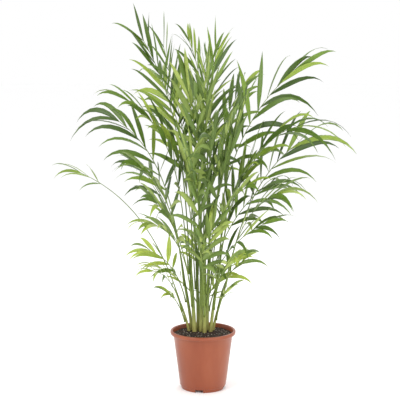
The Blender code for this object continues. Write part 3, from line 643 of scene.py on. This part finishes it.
def make_soil(compost):
    """The root ball in the pot, with a crumbly top that meets the wall."""
    inset = WALL_THICKNESS + SEAT_GAP
    edge_radius = WALL_TOP_RADIUS - inset + SEAT_GAP
    profile = [
        (FLOOR_RADIUS, FLOOR_UNDER + FLOOR_THICKNESS + SEAT_GAP),
        (wall_radius(CORNER_TOP) - inset, CORNER_TOP),
        (edge_radius, WALL_TOP),
    ]
    for ring in range(SOIL_RINGS):
        share = 1.0 - ring / SOIL_RINGS
        profile.append((edge_radius * share, SOIL_EDGE))
    soil = turned_by_hand("compost", profile, POT_SIDES)
    for vertex in soil.data.vertices:
        if vertex.co.z > (SOIL_EDGE + WALL_TOP) / 2.0:
            vertex.co.z = soil_height(vertex.co.x, vertex.co.y)
    return finished(soil, SOIL_SMOOTH_ANGLE, compost)


def strew(name, seed, material, count, least, most, flat):
    """Loose bits that lie half sunk in the soil, each turned and stretched its own way."""
    draw = random.Random(seed)
    corners = []
    faces = []
    for _ in range(count):
        away = (WALL_TOP_RADIUS - CRUMB_MARGIN) * math.sqrt(draw.random())
        spot = heading(draw.uniform(0.0, 360.0)) * away
        size = draw.uniform(least, most)
        stretch = Vector((size * draw.uniform(*CRUMB_LONGER), size, size * flat))
        spin = heading(draw.uniform(0.0, 360.0))
        tilt = draw.uniform(-CRUMB_TILT, CRUMB_TILT)
        first = len(corners)
        base = Vector((spot.x, spot.y, soil_height(spot.x, spot.y) + size * flat * CRUMB_PROUD))
        for corner in CRUMB_CORNERS:
            x, y, z = (corner[axis] * stretch[axis] * draw.uniform(*CRUMB_UNEVEN) for axis in range(3))
            z += tilt * x * CRUMB_SLOPE
            corners.append(base + Vector((x * spin.x - y * spin.y, x * spin.y + y * spin.x, z)))
        faces += [tuple(first + corner for corner in face) for face in CRUMB_FACES]
    return drawn(name, corners, faces, [material], smooth=False)


# Canes

def cane_axis(cane, height):
    """Point on a cane's axis. It leans away from the clump, and a little more as it rises."""
    rise = height - SOIL_TOP
    share = rise / (cane.top - SOIL_TOP)
    away = math.tan(math.radians(cane.lean)) * rise * (1.0 - CANE_CURVE + CANE_CURVE * share)
    return Vector((cane.x, cane.y, height)) + heading(cane.azimuth) * away


def cane_radius(cane, height):
    share = (height - SOIL_TOP) / (cane.top - SOIL_TOP)
    return cane.radius * float(np.interp(share, CANE_SHARES, CANE_SWELL))


def cane_height(cane, share):
    foot = SOIL_TOP + SEAT_GAP
    return foot + share * (cane.top - foot)


def make_cane(name, cane, sheath):
    """A cane as a stack of overlapping sheaths: each one flares a little to its torn rim, then
    steps in to the next. Its foot stands in the crumbs, and its top is drawn in round the ribs."""
    draw = random.Random(f"cane {name}")
    sheaths = max(2, round((cane.top - SOIL_TOP) / SHEATH_LENGTH))
    below = cane_axis(cane, SOIL_TOP)
    was = cane_radius(cane, SOIL_TOP)
    piece = first_ring(f"sheathed_cane_{name}", CANE_SIDES, was, below)
    for ring in range(1, CANE_RINGS + 1):
        share = ring / CANE_RINGS
        height = cane_height(cane, share)
        middle = cane_axis(cane, height)
        up_sheath = (share * sheaths) % 1.0
        flare = 1.0 + SHEATH_FLARE * up_sheath**3 if ring < CANE_RINGS else CANE_DRAWN_IN
        now = cane_radius(cane, height) * flare * CANE_INSIDE
        next_ring(middle - below, middle, now / was)
        below = middle
        was = now
    close_up()
    phase = draw.uniform(0.0, math.tau)
    for vertex in piece.data.vertices:
        centre = cane_axis(cane, vertex.co.z)
        off = vertex.co - centre
        angle = math.atan2(off.y, off.x)
        flute = 1.0 + FLUTE * math.cos(3.0 * angle + phase)
        flute += FINE_FLUTE * math.cos(7.0 * angle + 2.0 * phase)
        vertex.co = centre + off * flute
    return finished(piece, CANE_SMOOTH_ANGLE, sheath)


# Ribs, on the same courses as in the solids

def pair_count(frond):
    rise = frond.height - frond.release
    leafy = math.hypot(rise, frond.reach) * (RIB_END - frond.bare)
    return max(LEAST_PAIRS, round(leafy / HABITS[frond.habit].spacing) + 1)


def rib_radius(share):
    return RIB_FOOT_RADIUS + (RIB_TIP_RADIUS - RIB_FOOT_RADIUS) * share**RIB_TAPER


def section_reach(turn):
    """How far the rib's three-sided section reaches, of its radius, at an angle off its top."""
    angle = math.radians(abs(turn))
    return max(math.cos(angle), SECTION_ASIDE * math.sin(angle) - SECTION_BELOW * math.cos(angle))


class Rib:
    """The curve of a frond's rib, from its foot on a cane to its tip."""

    def __init__(self, frond, turn, bow, more_lean):
        cane = CANES[frond.cane]
        self.tip = heading(frond.azimuth) * frond.reach + UP * frond.height
        axis = cane_axis(cane, frond.release)
        away = self.tip - axis
        azimuth = math.degrees(math.atan2(away.y, away.x))
        tilt = math.sin(math.radians(frond.lean))
        self.foot = axis + UP * (SEAT_GAP + RIB_FOOT_RADIUS * tilt)
        if frond.release < cane.top:
            off = cane_radius(cane, frond.release) + SEAT_GAP
            off += RIB_FOOT_RADIUS * section_reach(turn)
            self.foot = axis + heading(azimuth + turn) * off
        chord = self.tip - self.foot
        self.out = Vector((chord.x, chord.y, 0.0)).normalized()
        self.right = self.out.cross(UP)
        self.blade_turn = math.radians(frond.turn)
        self.bare = frond.bare
        straight = chord.length * RIB_STRAIGHT
        aside = self.right * bow
        self.lower = self.foot + self.tilted(frond.lean + more_lean) * straight + aside
        self.upper = self.tip - self.tilted(frond.droop) * straight + aside

    def tilted(self, degrees):
        angle = math.radians(degrees)
        return UP * math.cos(angle) + self.out * math.sin(angle)

    def point(self, share):
        rest = 1.0 - share
        return (
            self.foot * rest**3
            + self.lower * 3.0 * rest**2 * share
            + self.upper * 3.0 * rest * share**2
            + self.tip * share**3
        )

    def frame(self, share):
        """Tangent, upper side and right side of the blade at a share of the rib."""
        rest = 1.0 - share
        along = (
            (self.lower - self.foot) * rest**2
            + (self.upper - self.lower) * 2.0 * rest * share
            + (self.tip - self.upper) * share**2
        ).normalized()
        above = self.right.cross(along).normalized()
        right = along.cross(above)
        grown = min(1.0, share / self.bare)
        twist = self.blade_turn * grown**2 * (3.0 - 2.0 * grown)
        turned_above = above * math.cos(twist) + right * math.sin(twist)
        return along, turned_above, along.cross(turned_above)


def course(rib, frond):
    """The rib's rings in the solids as one bent line of points, with the radius at each."""
    bare = [frond.bare * step / RIB_BARE_RINGS for step in range(RIB_BARE_RINGS)]
    last = pair_count(frond) - 1
    sockets = [frond.bare + (RIB_END - frond.bare) * pair / last for pair in range(last + 1)]
    shares = bare + sockets + [1.0]
    points = np.array([rib.point(share) for share in shares])
    return points, np.array([rib_radius(share) for share in shares])


def sampled(points, radii, spacing=0.004):
    """Points along a bent line, close together, with the radius at each."""
    places = []
    sizes = []
    for start, end, first, last in zip(points, points[1:], radii, radii[1:]):
        count = max(1, int(np.linalg.norm(end - start) / spacing))
        shares = np.linspace(0.0, 1.0, count, endpoint=False)[:, None]
        places.append(start + (end - start) * shares)
        sizes.append(first + (last - first) * shares[:, 0])
    return np.concatenate(places), np.concatenate(sizes)


def clearance(points, radii, lines):
    """Least gap between a bent line and the others, all as round bars."""
    places, sizes = sampled(points, radii)
    least = math.inf
    for other, other_radii in lines:
        start = other[:-1]
        span = other[1:] - start
        reach = places[:, None, :] - start[None, :, :]
        share = np.clip((reach * span).sum(2) / (span * span).sum(1), 0.0, 1.0)
        apart = np.linalg.norm(reach - share[:, :, None] * span, axis=2)
        thick = other_radii[:-1] + share * (other_radii[1:] - other_radii[:-1])
        least = min(least, float((apart - thick - sizes[:, None]).min()))
    return least


def cane_line(cane):
    heights = [cane_height(cane, share) for share in CANE_SHARES]
    points = np.array([cane_axis(cane, height) for height in heights])
    radii = np.array([cane_radius(cane, height) for height in heights])
    return points, radii


def lay_ribs():
    """Sets every rib's curve. A rib that meets a cane or an earlier rib gives way to it."""
    canes = {name: cane_line(cane) for name, cane in CANES.items()}
    laid = []
    ribs = {}
    for name, frond in FRONDS.items():
        others = [line for cane, line in canes.items() if cane != frond.cane] + laid
        own = [canes[frond.cane]]
        widest = -math.inf
        for more_lean, bow, turn in product(RIB_LEANS, RIB_BOWS, RIB_TURNS):
            if widest >= RIB_CLEARANCE:
                break
            rib = Rib(frond, turn, bow, more_lean)
            points, radii = course(rib, frond)
            gap = min(clearance(points, radii, others), clearance(points[1:], radii[1:], own))
            if gap > widest:
                widest = gap
                line = (points, radii)
                ribs[name] = rib
        laid.append(line)
    return ribs


def make_rib(name, rib, skin):
    """A round-bellied rib with a shallow groove along its upper side."""
    corners = []
    faces = []
    end = RIB_END + RIB_PAST_END
    for ring in range(RIB_RINGS + 1):
        share = end * ring / RIB_RINGS
        _, above, right = rib.frame(share)
        middle = rib.point(share)
        radius = rib_radius(share) * (1.0 + RIB_HEEL * max(0.0, 1.0 - share / RIB_HEEL_END))
        for side in range(RIB_SIDES):
            angle = math.tau * side / RIB_SIDES
            groove = 1.0 - RIB_GROOVE * max(0.0, math.cos(angle)) ** 4
            size = radius * RIB_INSIDE * groove
            corners.append(middle + (above * math.cos(angle) + right * math.sin(angle)) * size)
    for ring in range(RIB_RINGS):
        base = ring * RIB_SIDES
        over = base + RIB_SIDES
        for side in range(RIB_SIDES):
            after = (side + 1) % RIB_SIDES
            faces.append((base + side, base + after, over + after, over + side))
    faces.append(tuple(reversed(range(RIB_SIDES))))
    top = RIB_RINGS * RIB_SIDES
    faces.append(tuple(range(top, top + RIB_SIDES)))
    return drawn(name, corners, faces, [skin])


# Leaflets

# facing: where the upper side looks. sag: drop of the tip, of the length. shade: 0 to 1, and
# curl: -1 to 1, both by chance.
Leaflet = namedtuple("Leaflet", "root aim facing length width sag shade curl")


def leaflets(name, rib):
    """Every leaflet of a frond by the rule of the solids: where it roots, how it aims and sags."""
    frond = FRONDS[name]
    habit = HABITS[frond.habit]
    last = pair_count(frond) - 1
    grown_leaves = []
    for pair in range(last + 1):
        for side in (-1, 1):
            draw = random.Random(f"{name} {2 * pair} {side}")
            vary = [draw.uniform(-1.0, 1.0) for _ in range(6)]
            share = pair / last
            fuller = LEAF_AT_ENDS + LEAF_MORE_MIDDLE * math.sin(math.pi * share)
            grown = (1.0 + (habit.tail - 1.0) * share) * fuller
            length = frond.leaf * grown * (1.0 + LENGTH_VARIES * vary[0])
            width = length * habit.width * (1.0 + WIDTH_VARIES * vary[1]) * LEAF_SLENDERER
            splay = habit.splay + (habit.close - habit.splay) * share**SPLAY_CLOSES
            angle = math.radians(splay + SPLAY_VARIES * vary[2])
            raised = math.radians(habit.lift + LIFT_VARIES * vary[3])
            shifted = share + (ALTERNATE / last if side > 0 and pair < last else 0.0)
            socket = frond.bare + (RIB_END - frond.bare) * shifted
            along, above, right = rib.frame(socket)
            aside = right * side * math.cos(raised) + above * math.sin(raised)
            aim = along * math.cos(angle) + aside * math.sin(angle)
            root = rib.point(socket) + along * SOCKET_LENGTH / 2.0
            level = math.hypot(aim.x, aim.y)
            facing = (above - aim * above.dot(aim)).normalized()
            roll = math.radians(LEAF_ROLL * draw.uniform(-1.0, 1.0) + LEAF_ROLL_IN) * side
            facing = facing * math.cos(roll) + aim.cross(facing) * math.sin(roll)
            sag = (habit.sag + LEAF_MORE_SAG) * level * (1.0 + SAG_VARIES * vary[4])
            shade = draw.random()
            curl = draw.uniform(-1.0, 1.0)
            grown_leaves.append(Leaflet(root, aim, facing, length, width, sag, shade, curl))
    return grown_leaves


def blade_corners(leaf, sway):
    """A leaflet's rings of corners, each across its upper side and back across its lower one."""
    corners = []
    side_way = leaf.aim.cross(leaf.facing)
    level = math.hypot(leaf.aim.x, leaf.aim.y)
    for share, wide in zip(LEAF_STATIONS, LEAF_WIDTHS):
        drop = leaf.sag * share**SAG_POWER + level * TIP_CURL * share**TIP_CURL_POWER
        way = leaf.aim * share + side_way * sway * share**2 - UP * drop
        middle = leaf.root + way * leaf.length
        along = (leaf.aim - UP * 2.0 * leaf.sag * share).normalized()
        normal = (leaf.facing - along * leaf.facing.dot(along)).normalized()
        turn = LEAF_TWIST * leaf.curl * share**2
        normal = normal * math.cos(turn) + along.cross(normal) * math.sin(turn)
        across = along.cross(normal)
        half = leaf.width * wide / 2.0
        fold = half * LEAF_FOLD * (1.0 - LEAF_FOLD_OPENS * share)
        shoulder = fold * LEAF_SHOULDER + half * LEAF_ARCH
        section = list(zip(BLADE_OFFSETS, (fold, shoulder, 0.0, shoulder, fold)))
        for offset, rise in section:
            corners.append(middle + across * half * offset + normal * rise)
        for offset, rise in reversed(section):
            edge = LEAF_EDGE_THICKNESS if abs(offset) == 1.0 else 1.0
            thin = LEAF_THICKNESS * edge * max(LEAF_LEAST_THICKNESS, wide)
            corners.append(middle + across * half * offset + normal * (rise - thin))
    return corners


def make_leaves(name, leaves, tone, upper, under):
    """The leaflets of one frond: each a V-folded blade, pinched at its root, widest before its
    middle and drawn to a point, with an upper and a paler lower skin."""
    draw = random.Random(f"{name} sway")
    corners = []
    faces = []
    kinds = []
    spreads = []
    tones = []
    ring = BLADE_RING
    across = [min(corner, ring - 1 - corner) / BLADE_UPPER_FACES for corner in range(ring)]
    for leaf in leaves:
        first = len(corners)
        corners += blade_corners(leaf, LEAF_SWAY * draw.uniform(-1.0, 1.0))
        for station, (start, end) in enumerate(zip(LEAF_STATIONS, LEAF_STATIONS[1:])):
            base = first + station * ring
            for corner in range(ring):
                after = (corner + 1) % ring
                faces.append((base + corner, base + after, base + ring + after, base + ring + corner))
                kinds.append(0 if corner < BLADE_UPPER_FACES else 1)
                spreads += [(across[corner], start), (across[after], start)]
                spreads += [(across[after], end), (across[corner], end)]
        faces.append(tuple(reversed(range(first, first + ring))))
        faces.append(tuple(range(len(corners) - ring, len(corners))))
        kinds += [1, 1]
        spreads += [(0.5, 0.0)] * ring + [(0.5, 1.0)] * ring
        lightness = min(1.0, max(0.0, tone + TONE_VARIES * (leaf.shade - 0.5)))
        tones += [lightness] * (ring * len(LEAF_STATIONS))
    piece = drawn(name, corners, faces, [upper, under], kinds)
    layer = piece.data.uv_layers.new(name="blade")
    layer.data.foreach_set("uv", [value for pair in spreads for value in pair])
    attribute = piece.data.attributes.new("leaf_tone", "FLOAT", "POINT")
    attribute.data.foreach_set("value", tones)
    return piece


# Studio

def make_studio():
    """A pale floor and an even white surround, with a large soft key from the upper left, a fill
    and a narrow strip from the right, and a rim light from behind."""
    deselect()
    bpy.ops.mesh.primitive_plane_add(size=FLOOR_SIZE, location=(0.0, 0.0, -FLOOR_DROP))
    floor = bpy.context.object
    floor.name = "floor"
    bpy.ops.object.transform_apply(location=True, rotation=True, scale=True)
    paper, _, _ = finish("pale_floor", {"Base Color": srgb("FFFFFF"), "Roughness": 0.8})
    floor.data.materials.append(paper)
    world = bpy.data.worlds.new("bright_surround")
    world.use_nodes = True
    world.node_tree.nodes["Background"].inputs["Color"].default_value = srgb("FFFFFF")
    world.node_tree.nodes["Background"].inputs["Strength"].default_value = 1.0
    bpy.context.scene.world = world
    for name, (place, size, watts) in LAMPS.items():
        lamp = bpy.data.lights.new(name, "AREA")
        lamp.size = size
        lamp.energy = watts
        holder = bpy.data.objects.new(name, lamp)
        holder.location = place
        holder.rotation_euler = (LAMP_AIM - Vector(place)).to_track_quat("-Z", "Y").to_euler()
        bpy.context.collection.objects.link(holder)


def make_camera():
    data = bpy.data.cameras.new("view")
    data.lens = CAMERA_LENS
    data.sensor_width = CAMERA_SENSOR
    camera = bpy.data.objects.new("view", data)
    camera.location = CAMERA_PLACE
    camera.rotation_euler = (math.radians(90.0 - CAMERA_PITCH), 0.0, 0.0)
    bpy.context.collection.objects.link(camera)
    bpy.context.scene.camera = camera
    bpy.context.scene.view_settings.view_transform = "Standard"


def keep(piece, slot, *nodes):
    """Ties a finished piece to the model's root body and hides the solids that it stands for. The
    slot is not used.
    """
    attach(piece, "root")
    if nodes:
        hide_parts(*nodes)


def main():
    make_camera()
    make_studio()
    keep(make_pot(moulded_polypropylene()), "pot_plastic", "pot")
    keep(make_soil(peat()), "peat_soil", "potting_soil")
    bark = crumb("bark_bits", "150E09", "4A3221", 3.0)
    grit = crumb("pale_grit", "8F8672", "D9D2BF", 2.0)
    keep(strew("bark_crumbs", "crumbs", bark, *BARK), "peat_soil")
    keep(strew("grit_crumbs", "grit", grit, *GRIT), "peat_soil")
    sheath = green_sheath()
    for name, cane in CANES.items():
        keep(make_cane(name, cane, sheath), "green_cane", f"cane_{name}")
    skin = rib_skin()
    # The leaflet greens are brightened as painted light, for the glow of light through the leaves
    upper = leaf_skin("leaflet_upper", "3C5718", "6B8A2C", "B2C650", 0.40)
    under = leaf_skin("leaflet_lower", "4A6129", "748E42", "ACBE62", 0.50)
    ribs = lay_ribs()
    for name, frond in FRONDS.items():
        slot = "fresh_leaf" if frond.habit in FRESH_HABITS else "grown_leaf"
        keep(make_rib(f"rib_{name}", ribs[name], skin), slot, f"frond_{name}")
        leaves = leaflets(name, ribs[name])
        blades = make_leaves(f"leaflets_{name}", leaves, TONES[frond.habit], upper, under)
        keep(blades, slot, f"frond_{name}")


main()
